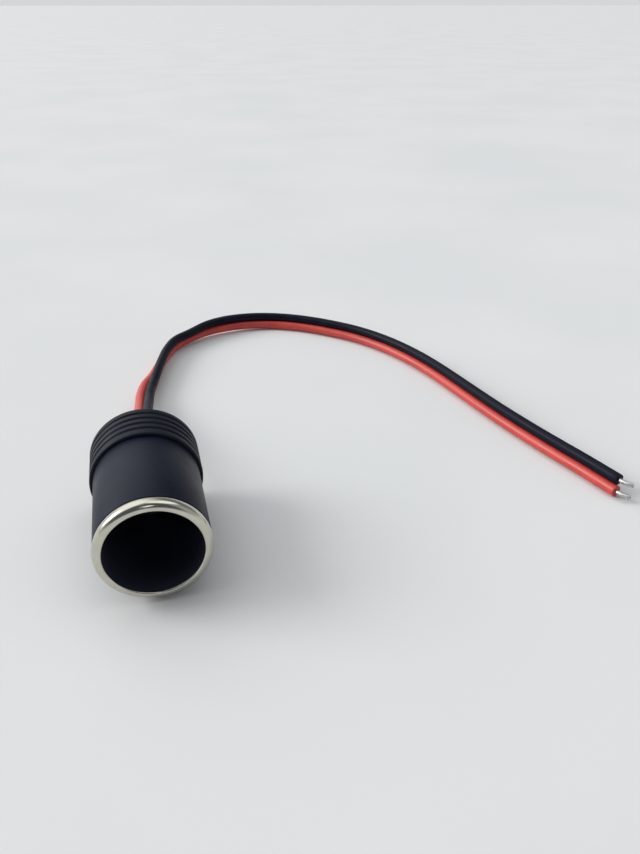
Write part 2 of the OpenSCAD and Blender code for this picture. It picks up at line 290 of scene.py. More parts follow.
# size of the outline, and how far before the cut face it has that size
CUT_EDGE = [(1.0, 0.12), (0.975, 0.03), (0.93, 0.0)]


def section_ring(frame_at, scale=1.0, ahead=0.0):
    """The wire's outline at a frame, made smaller by scale and moved ahead along the wire."""
    centre, heading, toward = frame_at
    up = np.cross(heading, toward)
    return [tuple((centre + x * scale * toward + y * scale * up + ahead * heading) * MM)
            for x, y in SECTION]


def round_ring(frame_at, radius, ahead=0.0):
    """A round ring with as many points as the outline, for the hole of the core."""
    centre, heading, toward = frame_at
    up = np.cross(heading, toward)
    ring = []
    for x, y in SECTION:
        a = math.atan2(y, x)
        p = centre + radius * (math.cos(a) * toward + math.sin(a) * up) + ahead * heading
        ring.append(tuple(p * MM))
    return ring


def make_wire(name, frames):
    """One wire from its solder pad to its cut end, with a short hole at both ends."""
    first, last = frames[0], frames[-1]
    rings = [round_ring(first, HOLE_R_IN_WIRE, HOLE_DEPTH), round_ring(first, HOLE_R_IN_WIRE)]
    rings += [section_ring(first, PAD_END_SCALE), section_ring(first, 1.0, PAD_END_LEN)]
    rings += [section_ring(f) for f in frames[1:-1]]
    rings += [section_ring(last, scale, -before) for scale, before in CUT_EDGE]
    rings.append(round_ring(last, HOLE_R_IN_WIRE + HOLE_FLARE))
    rings += [round_ring(last, HOLE_R_IN_WIRE, -depth) for depth in (FLARE_DEPTH, HOLE_DEPTH)]
    return skin(name, rings, sharp_deg=50)


red_wire = make_wire("red_insulation", red_frames)
black_wire = make_wire("black_insulation", black_frames)

# %% [markdown]
# Stripped ends
# Each core is a bundle of fine strands, twisted and dipped in solder, then bent a little to the
# side by the hand that stripped it. Modelling every strand would be lost under the solder, so
# one tube carries shallow twisted flutes that fade towards the tip, where the cutters nipped it
# off. The nipped face is a second material, rougher than solder as bare cut metal is, and its
# darker grey is painted shade on the end that faces away from the light.

# %% Twisted strands under solder
STRIP_LEN = 4.0
CORE_POINTS = 72
STRANDS = 7
LAY_LEN = 9.0
FLUTE_DEPTH = 0.045
FLUTE_FADE = 0.6
SWELL = 0.012
SWELL_RATE = 2.2
UP = np.array([0.0, 0.0, 1.0])


def core_ring(at, side, s, phase):
    """The strands' outline, s millimetres past the end of the insulation."""
    flute = FLUTE_DEPTH * (1 - FLUTE_FADE * max(s, 0) / STRIP_LEN)
    swell = SWELL * math.sin(SWELL_RATE * s + phase)
    ring = []
    for k in range(CORE_POINTS):
        t = 2 * math.pi * k / CORE_POINTS
        lay = t + 2 * math.pi * s / LAY_LEN + phase
        r = (CORE_R - 0.015) * (1 - flute * abs(math.sin(STRANDS * lay / 2)) ** 4) + swell
        ring.append(tuple((at + r * (math.cos(t) * side + math.sin(t) * UP)) * MM))
    return ring


print("a core shows", STRANDS, "strands,", round(STRIP_LEN / LAY_LEN, 2), "of a turn")

# %% Nipped tip
TIP_RINGS = 6
TIP_LEN = 0.09
TIP_FLAT_AT = 0.095
TIP_FLAT_SCALE = 0.35
TIP_NARROWS = 0.25


def tip_rings(body, ahead):
    """Rings that round the last ring of a core off to the flat of the cut."""
    tip = np.mean(np.array(body), axis=0)
    rings = []
    for j in range(1, TIP_RINGS + 1):
        a = math.radians(90 * j / (TIP_RINGS + 1))
        scale = 1 - TIP_NARROWS + TIP_NARROWS * math.cos(a)
        forward = ahead * TIP_LEN * math.sin(a) * MM
        rings.append([tuple(tip + (np.array(p) - tip) * scale + forward) for p in body])
    forward = ahead * TIP_FLAT_AT * MM
    rings.append([tuple(tip + (np.array(p) - tip) * TIP_FLAT_SCALE + forward) for p in body])
    return rings


print("a nipped tip has", TIP_RINGS + 1, "rings")

# %% Tinned cores
CORE_TURN = math.radians(30)
CORE_RINGS = 26
HIDDEN_RINGS = 2
TIP_ROOM = 0.1


def make_core(name, frames, phase):
    """A core that comes straight out of its insulation and bends to the left on an arc."""
    centre, heading, _ = frames[-1]
    left = np.cross(UP, heading)
    bend = STRIP_LEN / CORE_TURN
    rings = []
    for i in range(-HIDDEN_RINGS, CORE_RINGS + 1):
        s = (STRIP_LEN - TIP_ROOM) * i / CORE_RINGS
        a = max(s, 0) / bend
        forward = bend * math.sin(a) if s > 0 else s
        at = centre + heading * forward + left * bend * (1 - math.cos(a))
        side = left * math.cos(a) - heading * math.sin(a)
        rings.append(core_ring(at, side, s, phase))
    ahead = heading * math.cos(CORE_TURN) + left * math.sin(CORE_TURN)
    return skin(name, rings + tip_rings(rings[-1], ahead), caps=True, sharp_deg=60)


red_core = make_core("red_tinned_core", red_frames, 0.4)
black_core = make_core("black_tinned_core", black_frames, 2.1)

# %% [markdown]
# Joining the cable to the part
# The cable is the one piece here that bends on the real object. Each wire and its bare core join
# the part's root body, and the CAD nodes of the wire and of its end are hidden in their place.

for wire, core, frames, cad_name, extra in (
        (red_wire, red_core, red_frames, "red_wire", RED_EXTRA * MM),
        (black_wire, black_core, black_frames, "black_wire", 0.0)):
    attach(wire, "root")
    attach(core, "root")
    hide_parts(cad_name)
    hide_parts(cad_name + "_end")

# %% [markdown]
# Turned and drawn parts
# The socket's shell, barrel and cap are all round, so each is a closed outline swept once round
# the centre line. Corners are drawn with small arcs, because real mouldings and drawn sheet
# have no sharp edges, and those arcs are what catch the light.

# %% Outlines and arcs
def arc(centre, a, b, start, end, steps=12):
    """Points of an ellipse's arc. The angle is counted from the radius towards the back."""
    out = []
    for k in range(steps + 1):
        t = math.radians(start + (end - start) * k / steps)
        out.append((centre[0] + a * math.cos(t), centre[1] + b * math.sin(t)))
    return out


def circle_at(radius, along):
    """A ring round the socket's centre line."""
    return [on_axis(radius * math.cos(2 * math.pi * k / AROUND),
                    radius * math.sin(2 * math.pi * k / AROUND), along) for k in range(AROUND)]


def turned(name, outline):
    """A closed outline of (radius, distance from the mouth) swept round the centre line."""
    return skin(name, [circle_at(r, s) for r, s in outline], closed=True)


print("one turn is", AROUND, "points")

# %% [markdown]
# The drawn steel shell
# The plug slides into this cup. Its lip curls outwards and back over the barrel, which is the
# bright ring that is seen from the front. The bore steps in just before the floor, so that its
# full width ends in front of the contact. The photograph doesn't show that step, which is a guess.
# All of it is one outline, from the lip round the outside to the floor and back.

# %% Curled lip
SHEET = 0.5
LIP_ROUND = 0.4
LIP_FRONT_R = BORE_R + LIP_ROUND
LIP_R = BARREL_R + 0.1
LIP_MID = 1.5
LIP_LEN = 2.9
LIP_CURL = 30

lip_centre = (LIP_FRONT_R, LIP_MID)
lip_reach = LIP_R - LIP_FRONT_R
lip_back = (LIP_LEN - LIP_MID) / math.sin(math.radians(LIP_CURL))
lip_outside = arc(lip_centre, lip_reach, LIP_MID, 270, 360, 24)
lip_outside += arc(lip_centre, lip_reach, lip_back, 0, LIP_CURL - 1, 10)[1:]
# the trimmed edge of the sheet, with both corners broken
lip_edge = [(12.588, 2.876), (12.574, 2.89), (12.552, 2.887),
            (12.185, 2.675), (12.162, 2.655), (12.155, 2.63)]
lip_inside = arc(lip_centre, lip_reach - SHEET, lip_back - SHEET, LIP_CURL - 2, 0, 8)
lip_inside += arc(lip_centre, lip_reach - SHEET, LIP_MID - SHEET, 360, 276, 14)[1:]
lip = arc((LIP_FRONT_R, LIP_ROUND), LIP_ROUND, LIP_ROUND, 180, 270, 10)[:-1]
lip += lip_outside + lip_edge + lip_inside
print("lip from radius", BORE_R, "to", round(max(r for r, _ in lip), 2), "mm")

# %% Socket shell
BORE_DEPTH = 28.8
FLOOR_ROUND = 0.7
SEAT_STEP = 0.25
SEAT_FROM = 25.2
SEAT_FULL = 25.8
BUSH_HOLE_R = 3.1

seat_r = BORE_R - SEAT_STEP
corner = (seat_r - FLOOR_ROUND, BORE_DEPTH - FLOOR_ROUND)
shell_outside = [(BORE_R + SHEET, SEAT_FROM + 0.1), (seat_r + SHEET, SEAT_FULL + 0.1)]
shell_outside += arc(corner, FLOOR_ROUND + SHEET, FLOOR_ROUND + SHEET, 0, 90)
shell_floor = [(BUSH_HOLE_R, BORE_DEPTH + SHEET), (BUSH_HOLE_R, BORE_DEPTH)]
shell_inside = arc(corner, FLOOR_ROUND, FLOOR_ROUND, 90, 0, 8)
shell_inside += [(seat_r, SEAT_FULL), (seat_r + 0.01, SEAT_FULL - 0.05),
                 (BORE_R - 0.01, SEAT_FROM + 0.05), (BORE_R, SEAT_FROM)]
shell_inside += [(BORE_R, 12.0), (BORE_R, 1.2)]
shell = turned("drawn_shell", lip + shell_outside + shell_floor + shell_inside)

# %% [markdown]
# Holes off the centre line
# A small rivet joins the shell to its solder tag through the floor and the wall behind it. A
# boolean cut with a turned pin is the plain way to make one hole in a finished piece. The
# modifier's result is copied into the mesh, so that nothing is left to be worked out later.

# %% Rivet hole
RIVET_HOLE_R = 1.0
RIVET_OFF = 7.9
RIVET_DEG = 46
RIVET_AT = (RIVET_OFF * math.cos(math.radians(RIVET_DEG)),
            -RIVET_OFF * math.sin(math.radians(RIVET_DEG)))
PIN_POINTS = 48


def drill(obj, radius, at, front, back):
    """Cuts a round hole along the socket, at an offset from its centre line."""
    angles = [2 * math.pi * k / PIN_POINTS for k in range(PIN_POINTS)]
    round_pin = [(at[0] + radius * math.cos(a), at[1] + radius * math.sin(a)) for a in angles]
    rings = [[on_axis(across, up, along) for across, up in round_pin] for along in (front, back)]
    pin = skin("drill_pin", rings, caps=True)
    cut = obj.modifiers.new("drill", "BOOLEAN")
    cut.operation, cut.solver, cut.object = "DIFFERENCE", "EXACT", pin
    result = obj.evaluated_get(bpy.context.evaluated_depsgraph_get())
    obj.data = bpy.data.meshes.new_from_object(result)
    obj.modifiers.clear()
    bpy.data.objects.remove(pin)
    finish_mesh(obj)
    print(obj.name, "drilled,", len(obj.data.polygons), "faces")


drill(shell, RIVET_HOLE_R, RIVET_AT, BORE_DEPTH - 1, BORE_DEPTH + 1)

# %% [markdown]
# The barrel
# A plain moulded sleeve holds the shell. Its nose hides under the curled lip, a wall at the back
# carries the contacts, and a thin neck with a snap bead plugs into the cap. The outside is
# perfectly smooth in the photograph, so its only features are the soft edges at both ends.

# %% Housing
SLEEVE_R = 11.35
FLOOR_BACK = BORE_DEPTH + SHEET
WEB_BACK = 30.8
NOSE_GAP = 0.6
NOSE_R = 12.045
NECK_R = 12.15
NECK_BORE_R = 11.0
NECK_END = 34.5
BEAD_AT = 31.4
BEAD_H = 0.3

nose_arc = arc(lip_centre, lip_reach - NOSE_GAP, LIP_MID - NOSE_GAP, 281, 360, 14)
nose = [(SLEEVE_R, 0.8)] + [p for p in nose_arc if p[0] < NOSE_R - 0.01]
nose += [(NOSE_R, LIP_MID), (NOSE_R, 3.0)]
barrel = [(12.5, 3.0), (12.6, 3.015), (12.67, 3.06), (BARREL_R, 3.2), (BARREL_R, 12.0),
          (BARREL_R, 27.85), (12.66, 27.96), (12.55, CAP_FRONT)]
neck = [(NECK_R, CAP_FRONT), (NECK_R, BEAD_AT - 0.7), (NECK_R + 0.27, BEAD_AT - 0.08),
        (NECK_R + BEAD_H, BEAD_AT), (NECK_R + 0.27, BEAD_AT + 0.08), (NECK_R, BEAD_AT + 0.7),
        (NECK_R, NECK_END - 0.4), (NECK_R - 0.4, NECK_END), (NECK_BORE_R, NECK_END)]
wall = [(NECK_BORE_R, WEB_BACK), (BUSH_HOLE_R, WEB_BACK), (BUSH_HOLE_R, FLOOR_BACK)]
housing = turned("moulded_barrel", [(SLEEVE_R, FLOOR_BACK)] + nose + barrel + neck + wall)
drill(housing, RIVET_HOLE_R, RIVET_AT, FLOOR_BACK - 0.8, WEB_BACK + 0.7)

# %% [markdown]
# The ribbed end cap
# The cap stands a little proud of the barrel and has five raised ribs with round-bottomed
# grooves between them. Its rear wall has one oval hole that fits the pair of wires. The oval is
# a ring of as many points as the circles, each on the same ray from the middle, so the wall is
# skinned in the same way as the round parts.

# %% Ribs of the cap
GROOVES = (30.65, 33.1, 35.55, 38.0)
GROOVE_DEPTH = 0.4
GROOVE_HALF = 0.55
GROOVE_ARC = range(-62, 63, 6)
# radius and distance from the groove's middle
RIB_CREST = [(CAP_R, 0.74), (CAP_R - 0.008, 0.67), (CAP_R - 0.035, 0.6)]

groove_r = (GROOVE_HALF ** 2 + GROOVE_DEPTH ** 2) / (2 * GROOVE_DEPTH)
groove_mid = CAP_R - GROOVE_DEPTH + groove_r


def groove(at):
    """One groove with rounded crests, from front to back."""
    turns = [math.radians(a) for a in GROOVE_ARC]
    floor = [(groove_mid - groove_r * math.cos(t), at + groove_r * math.sin(t)) for t in turns]
    front = [(r, at - s) for r, s in RIB_CREST]
    back = [(r, at + s) for r, s in reversed(RIB_CREST)]
    return front + floor + back


print(len(GROOVES), "grooves make", len(GROOVES) + 1, "ribs")

# %% Oval cable hole
REAR_INNER = 39.4
HOLE_R = WIRE_R / math.cos(math.radians(22.5)) + 0.2
HOLE_EDGE = 0.2
NEARLY_ZERO = 1e-9


def oval_at(radius, along):
    """A ring on the outline of the cable's hole, two half circles joined by straight lines."""
    ring = []
    for k in range(AROUND):
        t = 2 * math.pi * k / AROUND
        c, s = abs(math.cos(t)), abs(math.sin(t))
        if s > NEARLY_ZERO and radius * c / s <= WIRE_R:
            reach = radius / s
        else:
            reach = WIRE_R * c + math.sqrt(radius ** 2 - (WIRE_R * s) ** 2)
        ring.append(on_axis(reach * math.cos(t), reach * math.sin(t), along))
    return ring


hole = [oval_at(HOLE_R + HOLE_EDGE, TOTAL_LEN), oval_at(HOLE_R + 0.06, TOTAL_LEN - 0.06),
        oval_at(HOLE_R, TOTAL_LEN - HOLE_EDGE), oval_at(HOLE_R, REAR_INNER)]
print("cable hole:", round(2 * (HOLE_R + WIRE_R), 2), "by", round(2 * HOLE_R, 2), "mm")

# %% End cap
CAP_BORE_R = 12.25
FRONT_ROUND = 0.5
REAR_ROUND = 1.4
INNER_BEVEL = 0.6
HOLE_WALL_R = 6.5

outer = arc((CAP_R - FRONT_ROUND, CAP_FRONT + FRONT_ROUND), FRONT_ROUND, FRONT_ROUND, 270, 360, 8)
for at in GROOVES:
    outer += groove(at)
outer += arc((CAP_R - REAR_ROUND, TOTAL_LEN - REAR_ROUND), REAR_ROUND, REAR_ROUND, 0, 90, 14)
outer += [(9.0, TOTAL_LEN), (HOLE_WALL_R, TOTAL_LEN)]
inner = [(HOLE_WALL_R, REAR_INNER), (CAP_BORE_R - INNER_BEVEL, REAR_INNER),
         (CAP_BORE_R, REAR_INNER - INNER_BEVEL), (CAP_BORE_R, BEAD_AT + 0.8),
         (CAP_BORE_R + BEAD_H, BEAD_AT), (CAP_BORE_R, BEAD_AT - 0.8),
         (CAP_BORE_R, CAP_FRONT + 0.1), (CAP_BORE_R + 0.1, CAP_FRONT)]
cap_rings = [circle_at(r, s) for r, s in outer] + hole + [circle_at(r, s) for r, s in inner]
cap = skin("ribbed_cap", cap_rings, closed=True)

# %% [markdown]
# Handing over the round parts
# Each finer mesh now takes the place of its CAD node. The node can't be deleted, because it is
# what collides in the simulation, so it is only hidden. The new piece joins the body it moves
# with. The printed spans show whether each piece still has the size of its drawing.

# %% Replace the three round CAD nodes
for piece, cad_name, slot_name in ((shell, "socket_shell", "nickel_steel"),
                                   (housing, "housing", "housing_plastic"),
                                   (cap, "end_cap", "cap_plastic")):
    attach(piece, "root")
    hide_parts(cad_name)
    at = np.array([v.co for v in piece.data.vertices]) / MM
    print(piece.name, "spans", np.round(at.max(axis=0) - at.min(axis=0), 2), "mm")

# %% [markdown]
# Shared surface effects
# Three effects are shared: the fine grain and slow unevenness of a moulded or extruded skin, thin
# rub marks, and a little settled dust. Each is a node group that is built once, with its sizes as
# inputs, and gives only values that change over the surface. Object coordinates are used, in
# metres, so nothing depends on an unwrapped map. A few helpers keep the node code short.

# %% Groups and nodes
def new_group(name, inputs, outputs):
    """An empty shader group with float inputs (name, default) and float outputs."""
    group = bpy.data.node_groups.new(name, "ShaderNodeTree")
    kind = "NodeSocketFloat"
    for label, default in inputs:
        socket = group.interface.new_socket(label, in_out="INPUT", socket_type=kind)
        socket.default_value = default
    for label in outputs:
        group.interface.new_socket(label, in_out="OUTPUT", socket_type=kind)
    return group, group.nodes.new("NodeGroupInput"), group.nodes.new("NodeGroupOutput")


def add(tree, kind, **settings):
    """A new node with its settings. A name that starts with in_ sets an input's value."""
    made = tree.nodes.new("ShaderNode" + kind)
    for key, value in settings.items():
        if key.startswith("in_"):
            made.inputs[key[3:].replace("_", " ")].default_value = value
        else:
            setattr(made, key, value)
    return made


def feed(tree, value, socket):
    """Sets a socket to a number, or links an output to it."""
    if isinstance(value, (int, float)):
        socket.default_value = value
    else:
        tree.links.new(value, socket)


print("a group's sockets are floats, and its nodes are made with add()")

# %% Values over a surface
def calc(tree, operation, *values, clamp=False):
    """A Math node. Each value is a number or an output socket."""
    made = add(tree, "Math", operation=operation, use_clamp=clamp)
    for value, socket in zip(values, made.inputs):
        feed(tree, value, socket)
    return made.outputs[0]


def remap(tree, value, low, high, to_low=0.0, to_high=1.0):
    """A smooth step from to_low to to_high while the value goes from low to high."""
    made = add(tree, "MapRange", interpolation_type="SMOOTHSTEP")
    feed(tree, value, made.inputs["Value"])
    limits = {"From Min": low, "From Max": high, "To Min": to_low, "To Max": to_high}
    for label, limit in limits.items():
        made.inputs[label].default_value = limit
    return made.outputs["Result"]


def noise_at(tree, where, scale, detail=3.0, roughness=0.55):
    """A Noise node's value. scale is a number or an output socket, in features per metre."""
    made = add(tree, "TexNoise", in_Detail=detail, in_Roughness=roughness)
    feed(tree, where, made.inputs["Vector"])
    feed(tree, scale, made.inputs["Scale"])
    return made.outputs["Fac"]


print("numbers and links go into a node in the same way, through feed()")

# %% [markdown]
# Moulded grain
# A moulding takes its fine grain from the steel mould, and its wall is never quite even. Both are
# noise, one a few tenths of a millimetre wide and one several millimetres. The slow one also
# shifts the tone and the gloss a little, which keeps a large smooth surface from looking painted.

# %% Grain group
FINE_SHARE = 0.35
CLOUD_RANGE = (0.32, 0.68)


def make_grain():
    """Height is a fine grain over a slow unevenness, and Cloud is a slow change of tone."""
    inputs = [("Grain", 3000.0), ("Unevenness", 120.0)]
    group, given, result = new_group("moulded grain", inputs, ["Height", "Cloud"])
    where = add(group, "TexCoord").outputs["Object"]
    fine = noise_at(group, where, given.outputs["Grain"], 2.0, 0.5)
    slow = noise_at(group, where, given.outputs["Unevenness"], 3.0, 0.5)
    feed(group, calc(group, "MULTIPLY_ADD", fine, FINE_SHARE, slow), result.inputs["Height"])
    feed(group, remap(group, slow, *CLOUD_RANGE), result.inputs["Cloud"])
    return group


GRAIN = make_grain()
print(GRAIN.name, "has", len(GRAIN.nodes), "nodes")

# %% [markdown]
# Rub marks
# A plug that goes in and out draws fine lines on the plated lip. Noise that is stretched along
# the socket gives such lines, and a second, wide noise breaks them into patches, because real
# marks are never spread evenly.

# %% Rub marks group
LINE_RANGE = (0.6, 0.72)
PATCH_RANGE = (0.45, 0.65)


def make_rubs():
    """Mask is 1 on thin broken lines that run along the socket."""
    inputs = [("Along", 60.0), ("Across", 2600.0), ("Spread", 90.0)]
    group, given, result = new_group("rub marks", inputs, ["Mask"])
    where = add(group, "TexCoord").outputs["Object"]
    scale = add(group, "CombineXYZ")
    for axis, label in (("X", "Across"), ("Y", "Along"), ("Z", "Across")):
        feed(group, given.outputs[label], scale.inputs[axis])
    stretched = add(group, "VectorMath", operation="MULTIPLY")
    feed(group, where, stretched.inputs[0])
    feed(group, scale.outputs["Vector"], stretched.inputs[1])
    fine = noise_at(group, stretched.outputs["Vector"], 1.0, 2.0, 0.6)
    wide = noise_at(group, where, given.outputs["Spread"], 2.0, 0.5)
    lines = remap(group, fine, *LINE_RANGE)
    patches = remap(group, wide, *PATCH_RANGE)
    feed(group, calc(group, "MULTIPLY", lines, patches), result.inputs["Mask"])
    return group


RUBS = make_rubs()
print(RUBS.name, "has", len(RUBS.nodes), "nodes")

# %% [markdown]
# Settled dust
# A thing that lies about gathers a trace of dust on top and none below. The normal tells which
# way a face looks, and two noises turn the even layer into specks and thinner places. Painting it
# by hand would look as good from one side, but it would be lost when the mesh changes.

# %% Dust group
UP_RANGE = (0.1, 0.95)
SPECK_RANGE = (0.52, 0.8)
THIN_PLACES = (0.35, 0.7, 0.15, 1.0)
THIN_PLACE_SCALE = 70.0


def make_dust():
    """Mask is where dust has settled: on faces that look up, in a broken pattern."""
    inputs = [("Specks", 1500.0), ("Amount", 0.3)]
    group, given, result = new_group("settled dust", inputs, ["Mask"])
    where = add(group, "TexCoord").outputs["Object"]
    facing = add(group, "SeparateXYZ")
    feed(group, add(group, "NewGeometry").outputs["Normal"], facing.inputs[0])
    up = remap(group, facing.outputs["Z"], *UP_RANGE)
    specks = remap(group, noise_at(group, where, given.outputs["Specks"], 4.0, 0.7), *SPECK_RANGE)
    patches = remap(group, noise_at(group, where, THIN_PLACE_SCALE), *THIN_PLACES)
    settled = calc(group, "MULTIPLY", calc(group, "MULTIPLY", specks, patches), up)
    mask = calc(group, "MULTIPLY", settled, given.outputs["Amount"], clamp=True)
    feed(group, mask, result.inputs["Mask"])
    return group


DUST = make_dust()
print(DUST.name, "has", len(DUST.nodes), "nodes")

# %% [markdown]
# One recipe for a finish
# Every material here is a Principled shader whose colour and roughness vary between two values
# by a group's mask, with a Bump node for the relief. A small builder keeps each finish down to
# the numbers that matter, and the shader's fixed values are set on its own sockets.

# %% A finish from its numbers
def place(tree, group, **values):
    """Puts a shared group into a material with its own input values."""
    made = tree.nodes.new("ShaderNodeGroup")
    made.node_tree = group
    for label, value in values.items():
        made.inputs[label].default_value = value
    return made


def mix_colour(tree, factor, a, b):
    """Mixes colour a, or an output socket, with colour b."""
    made = add(tree, "Mix", data_type="RGBA")
    feed(tree, factor, made.inputs["Factor"])
    for label, value in (("A", a), ("B", b)):
        socket = [i for i in made.inputs if i.name == label and i.type == "RGBA"][0]
        if isinstance(value, tuple):
            socket.default_value = (*value, 1)
        else:
            feed(tree, value, socket)
    return [o for o in made.outputs if o.type == "RGBA"][0]


DUST_COLOUR = (0.5, 0.49, 0.46)
DUST_DULLS = 0.4


def finish(name, dark, light, rough, grain, relief, rubs=None, dust=0.0, **fixed):
    """A material. dark and light are its two tones, and rough its two roughnesses. grain is how
    many fine and slow features fit in a metre, and relief is its height in mm and its strength."""
    material = bpy.data.materials.new(name)
    material.use_nodes = True
    tree = material.node_tree
    shader = tree.nodes["Principled BSDF"]
    for label, value in fixed.items():
        shader.inputs[label.replace("_", " ")].default_value = value
    skin_of = place(tree, GRAIN, Grain=float(grain[0]), Unevenness=float(grain[1]))
    colour = mix_colour(tree, skin_of.outputs["Cloud"], dark, light)
    roughness = remap(tree, skin_of.outputs["Cloud"], 0.0, 1.0, rough[0], rough[1])
    if rubs:
        marks = place(tree, RUBS, Along=float(rubs["along"]), Across=float(rubs["across"]))
        colour = mix_colour(tree, marks.outputs["Mask"], colour, rubs["colour"])
        roughness = calc(tree, "MULTIPLY_ADD", marks.outputs["Mask"], rubs["rough"], roughness)
    if dust:
        settled = place(tree, DUST, Amount=dust)
        dusty = settled.outputs["Mask"]
        colour = mix_colour(tree, dusty, colour, DUST_COLOUR)
        roughness = calc(tree, "MULTIPLY_ADD", dusty, DUST_DULLS, roughness, clamp=True)
    feed(tree, colour, shader.inputs["Base Color"])
    feed(tree, roughness, shader.inputs["Roughness"])
    bump = add(tree, "Bump", in_Strength=relief[1], in_Distance=relief[0] * MM)
    feed(tree, skin_of.outputs["Height"], bump.inputs["Height"])
    feed(tree, bump.outputs["Normal"], shader.inputs["Normal"])
    print("finish", name)
    return material


def dress(obj, *materials):
    """Gives a piece its materials, in the order of their indices."""
    obj.data.materials.clear()
    for material in materials:
        obj.data.materials.append(material)


# %% [markdown]
# Finishes that are seen
# Both black plastics are satin mouldings with a faint blue cast, the plate on the lip is warm and
# nearly a mirror, and the insulation is soft and a little waxy. Tones picked from a photograph
# have its light mixed in, so each one here was set until its render had the real tone. On the
# blacks the specular level comes down too, because a black surface shows its gloss most.

# %% Plastics of the socket
barrel_plastic = finish("satin black barrel", (0.0025, 0.0055, 0.016), (0.004, 0.0075, 0.020),
                        rough=(0.43, 0.48), grain=(4200, 140), relief=(0.02, 0.2), dust=0.05,
                        Specular_IOR_Level=0.15)
cap_plastic = finish("satin black cap", (0.003, 0.0055, 0.014), (0.0045, 0.0075, 0.018),
                     rough=(0.43, 0.5), grain=(4200, 160), relief=(0.02, 0.25), dust=0.05,
                     Specular_IOR_Level=0.14)

# %% Metal of the shell
PLATE_RUBS = {"along": 300, "across": 2500, "colour": (0.46, 0.445, 0.38), "rough": 0.12}
nickel = finish("nickel plate", (0.545, 0.53, 0.455), (0.60, 0.585, 0.50), rough=(0.13, 0.19),
                grain=(2500, 300), relief=(0.01, 0.12), rubs=PLATE_RUBS, Metallic=1.0)
# Painted shade: the inside of the bore gets a near-black colour that stands for the dark deep in
# the bore.
bore_painted_shade = finish("painted shade in the bore", (0.024, 0.028, 0.045), (0.029, 0.034, 0.053),
                     rough=(0.5, 0.6), grain=(2500, 200), relief=(0.02, 0.2),
                     Specular_IOR_Level=0.2)

# %% Cable and cores
red_pvc = finish("red insulation", (0.53, 0.050, 0.038), (0.60, 0.062, 0.046),
                 rough=(0.36, 0.44), grain=(2600, 260), relief=(0.02, 0.25), dust=0.06)
black_pvc = finish("black insulation", (0.003, 0.0045, 0.012), (0.005, 0.007, 0.018),
                   rough=(0.4, 0.48), grain=(2600, 260), relief=(0.02, 0.25), dust=0.03,
                   Specular_IOR_Level=0.11)
tinned = finish("tinned strands", (0.47, 0.47, 0.46), (0.60, 0.60, 0.59), rough=(0.28, 0.38),
                grain=(3500, 700), relief=(0.02, 0.25), Metallic=1.0)
# The nipped ends are rougher for the bare cut, and their darker grey is painted shade.
rough_painted_shade_tip = finish("nipped strand ends with painted shade", (0.20, 0.19, 0.18), (0.32, 0.31, 0.29),
                    rough=(0.45, 0.6), grain=(6000, 1800), relief=(0.04, 0.5), Metallic=0.8)

# %% [markdown]
# Finishes of the inner pieces
# The contact deep in the bore can't be made out in the photograph, and the wiring shows only when
# the cap is off. These pieces could stay plain, but a part is looked at from all sides, so each
# has the finish that is usual for it, by the same recipe.

# %% Contacts and insulator
brass = finish("turned brass", (0.60, 0.43, 0.19), (0.68, 0.5, 0.24), rough=(0.22, 0.32),
               grain=(5000, 500), relief=(0.01, 0.2), Metallic=1.0)
tag_brass = finish("stamped brass tag", (0.58, 0.47, 0.27), (0.66, 0.54, 0.32), rough=(0.3, 0.42),
                   grain=(4000, 400), relief=(0.02, 0.3), Metallic=1.0)
steel = finish("plated steel rivet", (0.46, 0.46, 0.46), (0.55, 0.55, 0.54), rough=(0.25, 0.38),
               grain=(4000, 600), relief=(0.02, 0.3), Metallic=1.0)
phenolic = finish("brown insulator", (0.045, 0.02, 0.01), (0.07, 0.033, 0.016), rough=(0.4, 0.55),
                  grain=(3000, 500), relief=(0.03, 0.4))

# %% Wiring and tie
solder = finish("solder", (0.5, 0.51, 0.52), (0.64, 0.65, 0.66), rough=(0.2, 0.38),
                grain=(2500, 700), relief=(0.05, 0.4), Metallic=1.0)
copper = finish("bare copper strands", (0.68, 0.32, 0.18), (0.78, 0.4, 0.24), rough=(0.25, 0.4),
                grain=(6000, 900), relief=(0.03, 0.4), Metallic=1.0)
nylon = finish("natural nylon", (0.66, 0.64, 0.56), (0.74, 0.72, 0.64), rough=(0.4, 0.52),
               grain=(3000, 400), relief=(0.03, 0.3), Subsurface_Weight=0.1)

# %% [markdown]
# Dressing the pieces
# Each piece takes its material directly. The shell needs two, because only its lip is bright and
# its bore has a near-black colour, a painted shade for the dark deep inside it, and so do the
# cores, whose nipped tips are rougher and darker with painted shade. A second object for each
# would leave a seam, so the faces of one mesh choose between two materials. CAD nodes keep their
# own mesh, so their material is set on the object.

# %% Dress the pieces
dress(housing, barrel_plastic)
dress(cap, cap_plastic)
dress(red_wire, red_pvc)
dress(black_wire, black_pvc)

# the outer rings of the tip and both end faces come last in the mesh
NIPPED_FACES = (TIP_RINGS - 1) * CORE_POINTS + 2
# The nipped tip faces take the rough grey with painted shade.
for core in (red_core, black_core):
    dress(core, tinned, rough_painted_shade_tip)
    for face in core.data.polygons[-NIPPED_FACES:]:
        face.material_index = 1

# %% Bright lip and dark bore
DARK_FROM = 0.45
DARK_TO = BORE_DEPTH + 0.2
DARK_R = BORE_R + 0.1

# The faces inside the bore take the near-black painted shade.
dress(shell, nickel, bore_painted_shade)
for face in shell.data.polygons:
    x, y, z = face.center
    r = math.hypot(x, z - AXIS_Z * MM) / MM
    along = y / MM - MOUTH_Y
    if DARK_FROM < along < DARK_TO and r < DARK_R:
        face.material_index = 1
print("dark faces:", sum(face.material_index for face in shell.data.polygons))

